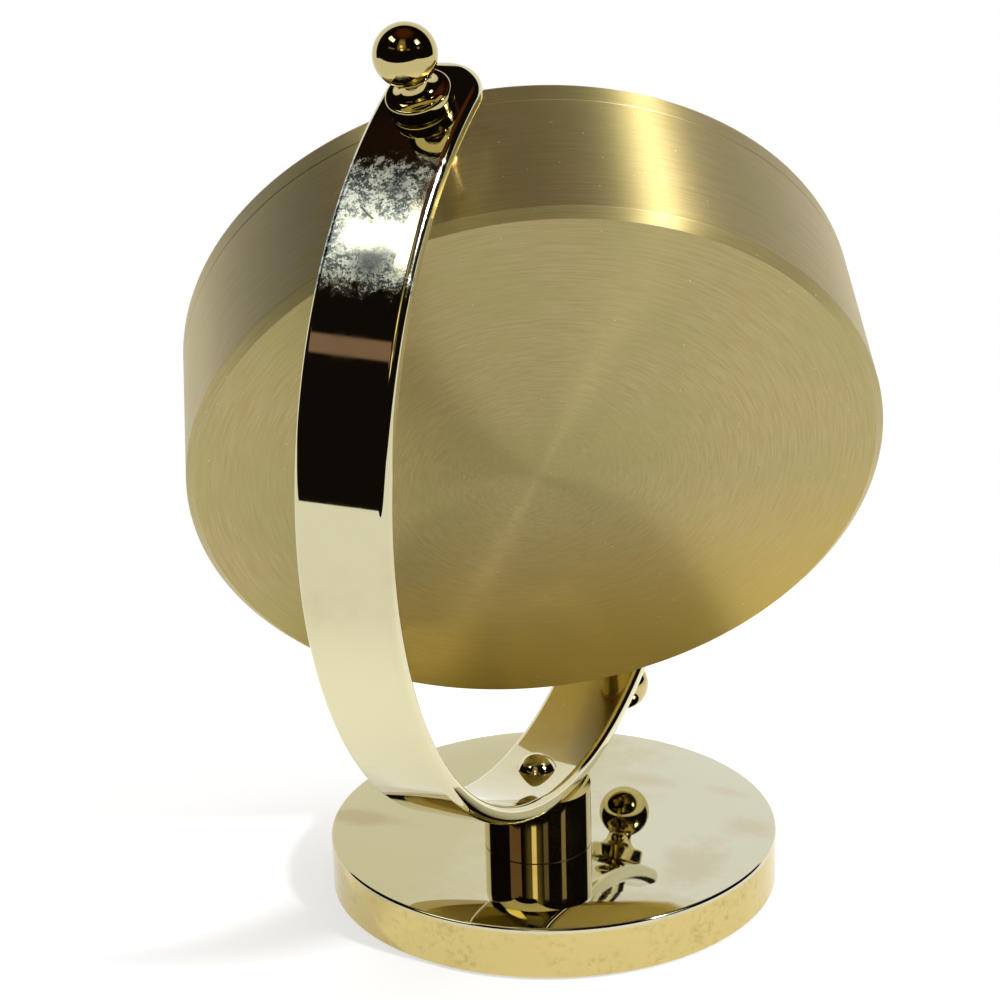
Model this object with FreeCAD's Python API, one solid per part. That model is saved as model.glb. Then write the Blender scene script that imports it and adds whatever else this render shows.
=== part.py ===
import FreeCAD, Part
import math
import os

V = FreeCAD.Vector

# Stand: a round foot, a short post off its middle and a bent strip
foot_radius = 31.5
foot_thickness = 7.6
foot_edge = 0.4
foot_flat = 24.0
foot_crown = 60.0
felt_radius = 30.0
felt_thickness = 1.2
felt_recess = 0.8
felt_proud = felt_thickness - felt_recess
foot_top = felt_proud + foot_thickness
post_side = -0.6
post_back = 6.8
post_radius = 7.45
post_height = 8.7
post_screw_radius = 2.5
post_screw_rise = 4.2
post_screw_head_radius = 4.4
post_screw_head_height = 2.6
post_washer_thickness = 0.8
post_counterbore_radius = 4.8
post_slot_width = 2.5
post_slot_depth = 1.4
strip_inner = 51.5
strip_thickness = 2.5
strip_width = 12.0
strip_edge = 0.9
strip_tail = 2.5
strip_outer = strip_inner + strip_thickness
strip_screw_radius = 1.75
strip_screw_length = 6.0
strip_dome_radius = 2.75
strip_dome_height = 1.9
centre_height = foot_top + post_height + strip_outer
centre = V(post_side, post_back, centre_height)

# Pivots: the line they share leans, and the drum is turned on it
lean = 32.0
turn = 64.2
pin_radius = 1.5
pin_hole = 1.55
pin_tip = 41.4
sleeve_radius = 2.15
slip_thickness = 0.4
bush_radius = 2.15
bush_inner = 41.2
bush_outer = 44.8
flange_radius = 3.95
flange_height = 2.15
flange_edge = 0.3
neck_radius = 1.75
cove_radius = 1.7
ball_radius = 3.8
ball_height = 7.5

# Drum shell
drum_radius = 45.0
drum_depth = 23.7
drum_back = -drum_depth / 2
drum_front = drum_depth / 2
drum_bore = 41.0
drum_floor_thickness = 3.0
drum_floor = drum_back + drum_floor_thickness
drum_chamfer = 1.1
bezel_depth = 3.2
bezel_back = drum_front - bezel_depth
bezel_edge = 0.5
seam_edge = 0.15

# Insert: bezel, glass and cup, held in the shell by a ribbed ring
cup_radius = 39.6
cup_bore = 38.4
cup_ledge_bore = 36.5
cup_back = -6.4
cup_floor_thickness = 1.0
cup_floor = cup_back + cup_floor_thickness
cup_front = bezel_back + 0.55
bezel_bore = 39.65
window_radius = 38.2
glass_radius = 39.0
glass_front = drum_front - 0.8
grip_back = -2.0
grip_front = 6.0
grip_root = 40.5
grip_crest = 40.95
grip_ribs = 4
grip_rib_width = 0.8
dial_back = 3.3
dial_thickness = 0.5
dial_front = dial_back + dial_thickness
dial_radius = 38.3
dial_hole = 1.8
chapter_radius = 38.35
chapter_top_bore = 37.4
chapter_bottom_bore = 36.4

# Calendar: a date ring and a day disc behind two windows at three o'clock
calendar_back = 2.5
calendar_front = 2.9
date_outer = 29.6
date_inner = 22.5
date_skirt = 23.3
date_teeth = 31
day_outer = 20.6
day_hub = 2.8
day_teeth = 7
tooth_radius = 0.55
date_window = (23.4, 28.8, -2.6, 2.6)
day_window = (12.2, 20.2, -2.6, 2.6)

# Movement plates, held to posts moulded in the cup
plate_back = 0.3
plate_front = 1.5
plate_radius = 33.6
plate_post_radius = 2.2
plate_post_circle = 31.2
plate_post_angles = (90, 210, 330)
plate_screw_radius = 0.9
plate_screw_head = 1.7
plate_screw_head_height = 0.7
plate_screw_length = 4.5
rear_plate_radius = 14.5
rear_plate_thickness = 0.8
rear_plate_front = cup_floor + rear_plate_thickness
run = 0.05

# Wheel train: each pair shares the sum of its two radii as its distance
wheel_thickness = 0.4
arbor_radius = 0.35
second_arbor = 0.45
minute_bore = 0.5
minute_pipe = 0.95
hour_bore = 1.0
hour_pipe = 1.5
second_wheel = 5.38
second_pinion = 0.68
second_level = -4.1
third_wheel = 5.27
third_pinion = 0.64
third_level = -3.35
third_spot = (0.0, 6.0)
minute_wheel_radius = 5.31
minute_level = -2.5
cannon_pinion = 1.54
cannon_level = -1.85
motion_wheel = 4.61
motion_pinion = 1.23
motion_spot = (-6.2, 0.0)
hour_wheel_radius = 4.92
hour_level = -1.0
fifth_wheel = 3.97
fifth_pinion = 0.87
fifth_level = -3.2
fifth_spot = (0.0, -6.3)
rotor_pinion = 0.78
rotor_radius = 1.7
rotor_spot = (4.0, -8.95)
rotor_level = -2.5
rotor_height = 1.6
daily_pinion = 4.12
daily_wheel = 8.24
daily_spot = (0.0, -12.4)
daily_level = 1.6
daily_finger_level = 2.05
daily_finger_reach = 9.85
daily_finger_width = 0.7
daily_finger_height = 0.35
date_rib = 0.8

# Magnet circuit, board and cell
stator_level = -2.0
stator_thickness = 0.5
stator_hole = 2.1
stator_box = (0.6, 19.6, -13.4, -4.6)
stator_gap = (8.0, 16.8, -11.4, -6.6)
stator_pole = 3.4
core_box = (17.4, 19.6)
coil_box = (-11.0, -7.0)
coil_radius = 1.95
board_box = (-13.0, 13.0, 17.5, 27.5)
board_back = cup_floor
board_thickness = 0.8
can_radius = 1.0
can_length = 6.0
chip_side = 4.0
chip_height = 0.9
cell_spot = (0.0, -22.6)
cell_radius = 5.8
cell_height = 5.4
cell_back = cup_floor + 0.1
cell_bay = 6.6
cell_wall = 1.0
cap_radius = 7.2
cap_coin_slot = (8.0, 1.4, 0.5)
strap_thickness = 0.15
strap_width = 3.0

# Setting parts on the back of the cup
knob_radius = 3.4
knob_height = 1.7
knob_teeth = 24
knob_tooth_radius = 0.25
button_radius = 1.4
button_head = 2.0
button_head_height = 1.0
button_stroke = 0.7
button_length = 9.0
date_button_spot = (-14.0, 10.0)
day_button_spot = (-20.0, 2.0)
jumper_thickness = 0.3
jumper_width = 0.6
date_jumper = ((9.0, 14.0), 6.4, 20.0)
day_jumper = ((-6.0, 13.4), 8.0, 178.0)

# Hands
hand_thickness = 0.3
hour_hand_level = 5.0
minute_hand_level = 6.1
second_hand_level = 7.2
hour_hand_length = 20.0
minute_hand_length = 30.0
second_hand_length = 32.0
hour_tail = 0.0
minute_tail = 0.0
second_tail = 9.0
hour_hand_width = 3.0
minute_hand_width = 2.2
second_hand_width = 0.7
hand_hub = 2.4
hand_collar = 0.9
rest_hour_angle = 305.0
rest_minute_angle = 60.0
rest_second_angle = 210.0


def rod(radius, z0, z1, x=0.0, y=0.0):
    return Part.makeCylinder(radius, z1 - z0, V(x, y, z0))


def tube(outer, inner, z0, z1, x=0.0, y=0.0):
    return rod(outer, z0, z1, x, y).cut(rod(inner, z0, z1, x, y))


def block(x0, x1, y0, y1, z0, z1):
    return Part.makeBox(x1 - x0, y1 - y0, z1 - z0, V(x0, y0, z0))


def turned(profile):
    wire = Part.makePolygon([V(r, 0, z) for r, z in profile + profile[:1]])
    return Part.Face(wire).revolve(V(0, 0, 0), V(0, 0, 1), 360)


def fused(shapes):
    whole = shapes[0]
    for shape in shapes[1:]:
        whole = whole.fuse(shape)
    return whole.removeSplitter()


def polar(radius, angle):
    spot = math.radians(angle)
    return radius * math.cos(spot), radius * math.sin(spot)


def pivot_direction():
    slope = math.radians(lean)
    return V(0, math.sin(slope), math.cos(slope))


def dial_direction():
    slope = math.radians(lean)
    swing = math.radians(turn)
    level = math.sin(swing)
    return V(math.cos(swing), -level * math.cos(slope), level * math.sin(slope))


def in_drum(shape):
    up = pivot_direction()
    out = dial_direction()
    across = up.cross(out)
    shape.Placement = FreeCAD.Placement(centre, FreeCAD.Rotation(across, up, out, "ZYX"))
    return shape


def on_pivot(shape, sign):
    shape.Placement = FreeCAD.Placement(centre, FreeCAD.Rotation(V(0, 0, 1), pivot_direction() * sign))
    return shape


def strip_cylinder(radius, width):
    return Part.makeCylinder(radius, width, centre - V(width / 2, 0, 0), V(1, 0, 0))


def at_post(shape):
    shape.translate(V(post_side, post_back, 0))
    return shape


def base_felt():
    return rod(felt_radius, 0, felt_thickness)


def sweep(x, z, radius, start, end):
    turns = (start, (start + end) / 2, end)
    return Part.Arc(*(V(x + radius * math.sin(a), 0, z + radius * math.cos(a)) for a in turns)).toShape()


def base_disc():
    rim = foot_radius - foot_edge
    reach = foot_crown - foot_edge
    steep = math.asin((rim - foot_flat) / reach)
    height = foot_top - foot_crown + reach * math.cos(steep)
    crown = sweep(foot_flat, foot_top - foot_crown, foot_crown, 0, steep)
    edge = sweep(rim, height, foot_edge, steep, math.pi / 2)
    below = Part.makePolygon([V(foot_radius, 0, height), V(foot_radius, 0, felt_proud), V(0, 0, felt_proud),
                              V(0, 0, foot_top), V(foot_flat, 0, foot_top)])
    disc = Part.Face(Part.Wire([crown, edge] + below.Edges)).revolve(V(0, 0, 0), V(0, 0, 1), 360)
    disc = disc.cut(rod(felt_radius, felt_proud, felt_thickness))
    pocket = felt_thickness + post_screw_head_height + post_washer_thickness
    disc = disc.cut(at_post(rod(post_counterbore_radius, felt_thickness, pocket)))
    return disc.cut(at_post(rod(post_screw_radius, felt_thickness, foot_top)))


def base_washer():
    seat = felt_thickness + post_screw_head_height
    return at_post(tube(post_screw_head_radius, post_screw_radius, seat, seat + post_washer_thickness))


def base_screw():
    seat = felt_thickness + post_screw_head_height
    screw = rod(post_screw_head_radius, felt_thickness, seat)
    screw = screw.fuse(rod(post_screw_radius, seat, foot_top + post_screw_rise))
    reach = post_screw_head_radius
    slot = block(-reach, reach, -post_slot_width / 2, post_slot_width / 2,
                 felt_thickness, felt_thickness + post_slot_depth)
    return at_post(screw.cut(slot))


def post():
    shape = at_post(rod(post_radius, foot_top, foot_top + 2 * post_height))
    shape = shape.cut(strip_cylinder(strip_outer, 4 * post_radius))
    shape = shape.cut(at_post(rod(post_screw_radius, foot_top, foot_top + post_screw_rise)))
    tap = centre_height - strip_inner - strip_screw_length
    return shape.cut(at_post(rod(strip_screw_radius, tap, centre_height - strip_inner)))


def arm():
    ring = strip_cylinder(strip_outer, strip_width)
    ring = ring.cut(strip_cylinder(strip_inner, strip_width))
    edges = [e for e in ring.Edges if len(e.Vertexes) == 1]
    ring = ring.makeFillet(strip_edge, edges)
    reach = 2 * strip_outer
    tilt = FreeCAD.Rotation(V(1, 0, 0), -lean)
    start = centre - pivot_direction() * strip_outer
    half = Part.makeBox(reach, reach, reach, V(-reach / 2, -strip_tail, -reach / 2))
    half.Placement = FreeCAD.Placement(centre, tilt)
    tail = tilt.multVec(V(0, -strip_tail, 0))
    pad = Part.makeCylinder(strip_width / 2, reach, start + tail, pivot_direction())
    shape = ring.common(half).fuse(ring.common(pad)).removeSplitter()
    shape = shape.cut(Part.makeCylinder(pin_hole, reach, start, pivot_direction()))
    return shape.cut(at_post(rod(strip_screw_radius, foot_top, centre_height)))


def arm_screw():
    seat = centre_height - strip_inner
    ball = (strip_dome_radius ** 2 + strip_dome_height ** 2) / (2 * strip_dome_height)
    dome = Part.makeSphere(ball, V(0, 0, seat + strip_dome_height - ball))
    dome = dome.common(rod(strip_dome_radius, seat - strip_edge, seat + strip_dome_height))
    screw = at_post(dome.fuse(rod(strip_dome_radius, seat - strip_edge, seat)))
    screw = screw.common(strip_cylinder(strip_inner, strip_width))
    shank = at_post(rod(strip_screw_radius, seat - strip_screw_length, seat + strip_dome_height / 2))
    return screw.fuse(shank).removeSplitter()


def pivot_sleeve(sign):
    shape = on_pivot(tube(sleeve_radius, pin_hole, drum_radius + slip_thickness, strip_outer), sign)
    return shape.common(strip_cylinder(strip_inner, strip_width))


def pivot_slip(sign):
    return on_pivot(tube(sleeve_radius, pin_hole, drum_radius, drum_radius + slip_thickness), sign)


def pivot_bush(sign):
    return on_pivot(tube(bush_radius, pin_hole, bush_inner, bush_outer), sign)


def finial(sign):
    seat = strip_outer
    top = seat + flange_height
    middle = seat + ball_height
    flange = rod(flange_radius, seat, top)
    flange = flange.makeFillet(flange_edge, [e for e in flange.Edges if len(e.Vertexes) == 1])
    flare = rod(neck_radius + cove_radius, top, top + cove_radius)
    flare = flare.cut(Part.makeTorus(neck_radius + cove_radius, cove_radius, V(0, 0, top + cove_radius)))
    ball = Part.makeSphere(ball_radius, V(0, 0, middle))
    stem = [rod(pin_radius, pin_tip, seat), rod(neck_radius, top, middle)]
    return on_pivot(fused(stem + [flange, flare, ball]), sign)


def case_drum():
    profile = [(0, drum_back), (drum_radius - drum_chamfer, drum_back),
               (drum_radius, drum_back + drum_chamfer), (drum_radius, bezel_back - seam_edge),
               (drum_radius - seam_edge, bezel_back), (drum_bore, bezel_back),
               (drum_bore, drum_floor), (0, drum_floor)]
    shape = turned(profile)
    bore = Part.makeCylinder(bush_radius, 2 * drum_radius, V(0, -drum_radius, 0), V(0, 1, 0))
    return in_drum(shape.cut(bore))


def bezel():
    profile = [(window_radius, drum_front - bezel_edge), (window_radius + bezel_edge, drum_front),
               (drum_radius - bezel_edge, drum_front), (drum_radius, drum_front - bezel_edge),
               (drum_radius, bezel_back + seam_edge), (drum_radius - seam_edge, bezel_back),
               (bezel_bore, bezel_back), (bezel_bore, glass_front), (window_radius, glass_front)]
    return in_drum(turned(profile))


def lens():
    return in_drum(rod(glass_radius, cup_front, glass_front))


def lens_gasket():
    return in_drum(tube(bezel_bore, glass_radius, cup_front, glass_front))


def insert_cup():
    profile = [(0, cup_back), (cup_radius, cup_back), (cup_radius, cup_front), (cup_bore, cup_front),
               (cup_bore, dial_back), (cup_ledge_bore, dial_back), (cup_ledge_bore, cup_floor),
               (0, cup_floor)]
    shape = turned(profile)
    for angle in plate_post_angles:
        x, y = polar(plate_post_circle, angle)
        shape = shape.fuse(rod(plate_post_radius, cup_floor, plate_back, x, y))
        shape = shape.cut(rod(plate_screw_radius, plate_front - plate_screw_length, plate_back, x, y))
    x, y = cell_spot
    shape = shape.fuse(tube(cell_bay + cell_wall, cell_bay, cup_floor, plate_back - run, x, y))
    shape = shape.cut(rod(cap_radius, cup_back, cup_floor - strap_thickness, x, y))
    shape = shape.cut(rod(cell_bay, cup_back, cup_floor, x, y))
    x, y = motion_spot
    shape = shape.cut(rod(arbor_radius + run, cup_back, cup_floor, x, y))
    for x, y in (date_button_spot, day_button_spot):
        shape = shape.cut(rod(button_radius + run, cup_back, cup_floor, x, y))
    return in_drum(shape.removeSplitter())


def grip_ring():
    rings = [tube(grip_root, cup_radius, grip_back, grip_front)]
    pitch = (grip_front - grip_back - grip_rib_width) / (grip_ribs - 1)
    for number in range(grip_ribs):
        start = grip_back + number * pitch
        rings.append(tube(grip_crest, cup_radius, start, start + grip_rib_width))
    return in_drum(fused(rings))


def dial():
    shape = tube(dial_radius, dial_hole, dial_back, dial_front)
    for x0, x1, y0, y1 in (date_window, day_window):
        shape = shape.cut(block(x0, x1, y0, y1, dial_back, dial_front))
    return in_drum(shape)


def chapter_ring():
    profile = [(chapter_bottom_bore, dial_front), (chapter_radius, dial_front), (chapter_radius, cup_front),
               (chapter_top_bore, cup_front)]
    return in_drum(turned(profile))


def date_ring():
    shape = tube(date_outer, date_inner, calendar_back, calendar_front)
    shape = shape.fuse(tube(date_skirt, date_inner, plate_front + run, calendar_back))
    for number in range(date_teeth):
        x, y = polar(date_inner, number * 360 / date_teeth)
        shape = shape.cut(rod(tooth_radius, plate_front, calendar_front, x, y))
    return in_drum(shape.removeSplitter())


def day_disc():
    bore = hour_pipe + run
    shape = tube(day_outer, bore, calendar_back, calendar_front)
    shape = shape.fuse(tube(day_hub, bore, daily_level + wheel_thickness + run, calendar_front))
    for number in range(day_teeth):
        x, y = polar(day_outer, number * 360 / day_teeth)
        shape = shape.cut(rod(tooth_radius, calendar_back, calendar_front, x, y))
    return in_drum(shape.removeSplitter())


def movement_plate():
    shape = rod(plate_radius, plate_back, plate_front)
    seat = date_skirt + run
    shape = shape.fuse(tube(seat + date_rib, seat, plate_front, calendar_back - run))
    for x, y, radius in ((0, 0, hour_pipe), third_spot + (arbor_radius,), motion_spot + (arbor_radius,),
                         fifth_spot + (arbor_radius,), rotor_spot + (arbor_radius,)):
        shape = shape.cut(rod(radius + run, plate_back, plate_front, x, y))
    for x, y in (date_button_spot, day_button_spot):
        shape = shape.cut(rod(button_radius + run, plate_back, plate_front, x, y))
    for angle in plate_post_angles:
        x, y = polar(plate_post_circle, angle)
        shape = shape.cut(rod(plate_screw_radius, plate_back, plate_front, x, y))
    return in_drum(shape.removeSplitter())


def plate_screws():
    screws = []
    for angle in plate_post_angles:
        x, y = polar(plate_post_circle, angle)
        shank = rod(plate_screw_radius, plate_front - plate_screw_length, plate_front, x, y)
        head = rod(plate_screw_head, plate_front, plate_front + plate_screw_head_height, x, y)
        screws.append(shank.fuse(head).removeSplitter())
    return in_drum(Part.Compound(screws))


def rear_plate():
    shape = rod(rear_plate_radius, cup_floor, rear_plate_front)
    for x, y, radius in ((0, 0, second_arbor), third_spot + (arbor_radius,), motion_spot + (arbor_radius,),
                         fifth_spot + (arbor_radius,), rotor_spot + (arbor_radius,)):
        shape = shape.cut(rod(radius + run, cup_floor, rear_plate_front, x, y))
    return in_drum(shape)


def arbored(spot, back, front, discs):
    x, y = spot
    shapes = [rod(arbor_radius, back, front, x, y)]
    shapes += [rod(radius, start, start + height, x, y) for radius, start, height in discs]
    return fused(shapes)


def second_shaft():
    shapes = [rod(second_arbor, cup_floor + run, second_hand_level),
              rod(second_wheel, second_level, second_level + wheel_thickness),
              rod(second_pinion, second_level, third_level + wheel_thickness)]
    return in_drum(fused(shapes))


def third_pair():
    pinion = (third_pinion, third_level, minute_level + wheel_thickness - third_level)
    return in_drum(arbored(third_spot, cup_floor + run, plate_front - run,
                           [(third_wheel, third_level, wheel_thickness), pinion]))


def minute_pipe_wheel():
    shapes = [tube(minute_pipe, minute_bore, minute_level, minute_hand_level),
              tube(minute_wheel_radius, minute_bore, minute_level, minute_level + wheel_thickness),
              tube(cannon_pinion, minute_bore, minute_level, cannon_level + wheel_thickness)]
    return in_drum(fused(shapes))


def motion_pair():
    pinion = (motion_pinion, cannon_level, hour_level + wheel_thickness - cannon_level)
    return in_drum(arbored(motion_spot, cup_back - knob_height / 2, plate_front - run,
                           [(motion_wheel, cannon_level, wheel_thickness), pinion]))


def hour_pipe_wheel():
    shapes = [tube(hour_pipe, hour_bore, hour_level, hour_hand_level),
              tube(hour_wheel_radius, hour_bore, hour_level, hour_level + wheel_thickness),
              tube(daily_pinion, hour_bore, daily_level, daily_level + wheel_thickness)]
    return in_drum(fused(shapes))


def fifth_pair():
    pinion = (fifth_pinion, second_level, fifth_level - second_level)
    return in_drum(arbored(fifth_spot, cup_floor + run, plate_front - run,
                           [(fifth_wheel, fifth_level, wheel_thickness), pinion]))


def rotor():
    pinion = (rotor_pinion, fifth_level, rotor_level - fifth_level)
    return in_drum(arbored(rotor_spot, cup_floor + run, plate_front - run,
                           [(rotor_radius, rotor_level, rotor_height), pinion]))


def daily_wheel_finger():
    x, y = daily_spot
    top = daily_finger_level + daily_finger_height
    half = daily_finger_width / 2
    shape = rod(daily_wheel, daily_level, daily_finger_level, x, y)
    shape = shape.fuse(block(x, x + daily_finger_reach, y - half, y + half, daily_level, top))
    shape = shape.fuse(rod(2 * daily_finger_width, daily_level, top, x, y)).removeSplitter()
    return in_drum(shape.cut(rod(arbor_radius + run, daily_level, top, x, y)))


def daily_stud():
    x, y = daily_spot
    return in_drum(rod(arbor_radius, plate_front, calendar_back - run, x, y))


def stator():
    level, top = stator_level, stator_level + stator_thickness
    shape = block(*stator_box, level, top).cut(block(*stator_gap, level, top))
    shape = shape.fuse(rod(stator_pole, level, top, *rotor_spot))
    for x, y, radius in (rotor_spot + (stator_hole,), fifth_spot + (fifth_pinion,),
                         (0, 0, cannon_pinion + arbor_radius)):
        shape = shape.cut(rod(radius, level, top, x, y))
    return in_drum(shape.removeSplitter())


def coil():
    x0, x1 = core_box
    y0, y1 = coil_box
    middle = V((x0 + x1) / 2, y0, stator_level + stator_thickness / 2)
    shape = Part.makeCylinder(coil_radius, y1 - y0, middle, V(0, 1, 0))
    bar = block(x0 - coil_radius / 2, x1, y0, y1, stator_level, stator_level + stator_thickness)
    return in_drum(shape.cut(bar))


def circuit_board():
    x0, x1, y0, y1 = board_box
    return in_drum(block(x0, x1, y0, y1, board_back, board_back + board_thickness))


def quartz_can():
    x0, x1, y0, y1 = board_box
    start = V(x0 + can_radius, (y0 + y1) / 2, board_back + board_thickness + can_radius)
    return in_drum(Part.makeCylinder(can_radius, can_length, start, V(1, 0, 0)))


def clock_chip():
    x0, x1, y0, y1 = board_box
    back = board_back + board_thickness
    middle = (y0 + y1) / 2
    return in_drum(block(x1 - 2 * chip_side, x1 - chip_side, middle - chip_side / 2, middle + chip_side / 2,
                         back, back + chip_height))


def cell():
    x, y = cell_spot
    return in_drum(rod(cell_radius, cell_back, cell_back + cell_height, x, y))


def cell_cap():
    x, y = cell_spot
    shape = rod(cap_radius - run, cup_back, cup_floor - strap_thickness, x, y)
    length, width, depth = cap_coin_slot
    slot = block(x - length / 2, x + length / 2, y - width / 2, y + width / 2, cup_back, cup_back + depth)
    return in_drum(shape.cut(slot))


def cell_straps():
    x, y = cell_spot
    half = strap_width / 2
    top = cell_back + cell_height
    upper = block(x - half, x + half, y - cell_radius, y + cell_radius, top, top + strap_thickness)
    side = cell_bay - strap_thickness
    wall = block(x + side, x + cell_bay, y - half / 2, y + half / 2, cell_back, top)
    wall = wall.common(rod(cell_bay, cell_back, top, x, y))
    return in_drum(Part.Compound([upper, wall]))


def jumper(spot, length, angle):
    x, y = spot
    foot = rod(2 * jumper_width, plate_front, plate_front + 2 * jumper_thickness, x, y)
    blade = block(0, length, -jumper_width / 2, jumper_width / 2, plate_front + jumper_thickness,
                  plate_front + 2 * jumper_thickness)
    blade.rotate(V(0, 0, 0), V(0, 0, 1), angle)
    blade.translate(V(x, y, 0))
    return foot.fuse(blade).removeSplitter()


def jumper_springs():
    return in_drum(Part.Compound([jumper(*date_jumper), jumper(*day_jumper)]))


def setting_knob():
    x, y = motion_spot
    shape = rod(knob_radius, cup_back - run - knob_height, cup_back - run, x, y)
    shape = shape.cut(rod(arbor_radius, cup_back - knob_height / 2, cup_back, x, y))
    for number in range(knob_teeth):
        dx, dy = polar(knob_radius, number * 360 / knob_teeth)
        shape = shape.cut(rod(knob_tooth_radius, cup_back - 2 * knob_height, cup_back, x + dx, y + dy))
    return in_drum(shape)


def push_button(spot):
    x, y = spot
    start = cup_back - button_stroke - button_head_height
    shape = rod(button_head, start, start + button_head_height, x, y)
    shape = shape.fuse(rod(button_radius, start, start + button_length, x, y))
    return in_drum(shape.removeSplitter())


def hand(length, tail, width, level, pipe, hub, angle):
    tip = width / 4
    side = width / 2
    outline = [V(-side, -tail, 0), V(side, -tail, 0), V(side, length / 2, 0), V(tip, length, 0),
               V(-tip, length, 0), V(-side, length / 2, 0)]
    blade = Part.Face(Part.makePolygon(outline + outline[:1])).extrude(V(0, 0, hand_thickness))
    shape = blade.fuse(rod(hub, 0, hand_collar))
    shape.translate(V(0, 0, level - hand_collar))
    shape = shape.removeSplitter().cut(rod(pipe, 0, level))
    shape.rotate(V(0, 0, 0), V(0, 0, 1), -angle)
    return shape


def hour_hand():
    return in_drum(hand(hour_hand_length, hour_tail, hour_hand_width, hour_hand_level, hour_pipe, hand_hub,
                        rest_hour_angle))


def minute_hand():
    return in_drum(hand(minute_hand_length, minute_tail, minute_hand_width, minute_hand_level, minute_pipe,
                        hand_hub, rest_minute_angle))


def second_hand():
    return in_drum(hand(second_hand_length, second_tail, second_hand_width, second_hand_level, second_arbor,
                        hand_collar, rest_second_angle))


parts = {
    "base_felt": base_felt(), "base_disc": base_disc(), "base_washer": base_washer(),
    "base_screw": base_screw(), "post": post(), "arm": arm(), "arm_screw": arm_screw(),
    "upper_sleeve": pivot_sleeve(1), "lower_sleeve": pivot_sleeve(-1),
    "upper_slip_washer": pivot_slip(1), "lower_slip_washer": pivot_slip(-1),
    "upper_finial": finial(1), "lower_finial": finial(-1),
    "case_drum": case_drum(), "upper_bush": pivot_bush(1), "lower_bush": pivot_bush(-1),
    "bezel": bezel(), "lens": lens(), "lens_gasket": lens_gasket(), "insert_cup": insert_cup(),
    "grip_ring": grip_ring(), "dial": dial(), "chapter_ring": chapter_ring(),
    "date_ring": date_ring(), "day_disc": day_disc(),
    "movement_plate": movement_plate(), "plate_screws": plate_screws(), "rear_plate": rear_plate(),
    "second_shaft": second_shaft(), "third_wheel": third_pair(), "minute_pipe": minute_pipe_wheel(),
    "motion_wheel": motion_pair(), "hour_pipe": hour_pipe_wheel(), "fifth_wheel": fifth_pair(),
    "rotor": rotor(), "daily_wheel": daily_wheel_finger(), "daily_stud": daily_stud(),
    "stator": stator(), "coil": coil(), "circuit_board": circuit_board(), "quartz_can": quartz_can(),
    "clock_chip": clock_chip(), "cell": cell(), "cell_cap": cell_cap(), "cell_straps": cell_straps(),
    "jumper_springs": jumper_springs(), "setting_knob": setting_knob(),
    "date_button": push_button(date_button_spot), "day_button": push_button(day_button_spot),
    "hour_hand": hour_hand(), "minute_hand": minute_hand(), "second_hand": second_hand(),
}

os.makedirs("parts", exist_ok=True)
for name, shape in parts.items():
    shape.exportStep("parts/%s.step" % name)
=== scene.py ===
import math

import bmesh
import bpy
from mathutils import Matrix, Vector


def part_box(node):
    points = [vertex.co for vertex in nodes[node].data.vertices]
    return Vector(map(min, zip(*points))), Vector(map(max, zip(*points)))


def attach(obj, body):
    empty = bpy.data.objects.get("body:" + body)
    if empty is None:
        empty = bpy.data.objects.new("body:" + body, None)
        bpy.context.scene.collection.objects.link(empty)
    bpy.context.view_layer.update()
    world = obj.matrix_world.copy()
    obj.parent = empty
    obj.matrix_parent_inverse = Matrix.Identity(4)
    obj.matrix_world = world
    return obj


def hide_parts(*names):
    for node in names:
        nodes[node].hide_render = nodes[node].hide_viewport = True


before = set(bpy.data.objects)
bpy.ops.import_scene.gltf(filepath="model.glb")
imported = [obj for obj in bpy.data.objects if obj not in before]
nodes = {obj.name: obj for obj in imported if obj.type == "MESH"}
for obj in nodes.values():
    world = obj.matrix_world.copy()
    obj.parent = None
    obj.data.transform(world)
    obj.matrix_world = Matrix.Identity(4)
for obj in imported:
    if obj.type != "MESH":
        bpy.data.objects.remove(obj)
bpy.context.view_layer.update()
mm = 0.001
degrees = 180 / math.pi
print("frame loaded:", len(nodes), "nodes")


# the leaning line between the two pivots, and the drum on it
clock = {
    "centre": (-0.6, 6.8, 70.7),
    "lean": 32.0,
    "turn": 64.2,
    "drumRadius": 45.0,
    "drumBack": -11.85,
    "drumFront": 11.85,
    "seam": 8.65,
}


def pivotFrame(flip=1):
    lean = math.radians(clock["lean"])
    up = Vector((0, math.sin(lean), math.cos(lean))) * flip
    side = Vector((1, 0, 0))
    return placed(side, up.cross(side), up)


def dialFrame():
    lean = math.radians(clock["lean"])
    turn = math.radians(clock["turn"])
    up = Vector((0, math.sin(lean), math.cos(lean)))
    out = Vector((math.cos(turn), -math.sin(turn) * math.cos(lean), math.sin(turn) * math.sin(lean)))
    return placed(up.cross(out), up, out)


def placed(x, y, z):
    matrix = Matrix((x, y, z)).transposed().to_4x4()
    matrix.translation = Vector(clock["centre"]) * mm
    return matrix


# camera
shot = {
    "place": (-131.3, 302.4, 170.9),
    "azimuth": 204.573,
    "elevation": 19.189,
    "roll": -1.537,
    "lens": 92.38,
    "sensor": 36.0,
}


def makeCamera():
    data = bpy.data.cameras.new("camera")
    data.lens = shot["lens"]
    data.sensor_width = shot["sensor"]
    data.sensor_fit = "HORIZONTAL"
    data.clip_start = 0.01
    camera = bpy.data.objects.new("camera", data)
    bpy.context.scene.collection.objects.link(camera)
    turn = Matrix.Rotation(math.radians(shot["azimuth"]), 4, "Z")
    tilt = Matrix.Rotation(math.radians(90 - shot["elevation"]), 4, "X")
    roll = Matrix.Rotation(math.radians(shot["roll"]), 4, "Z")
    camera.matrix_world = Matrix.Translation(Vector(shot["place"]) * mm) @ turn @ tilt @ roll
    bpy.context.scene.camera = camera


makeCamera()
print("camera placed")


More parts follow.
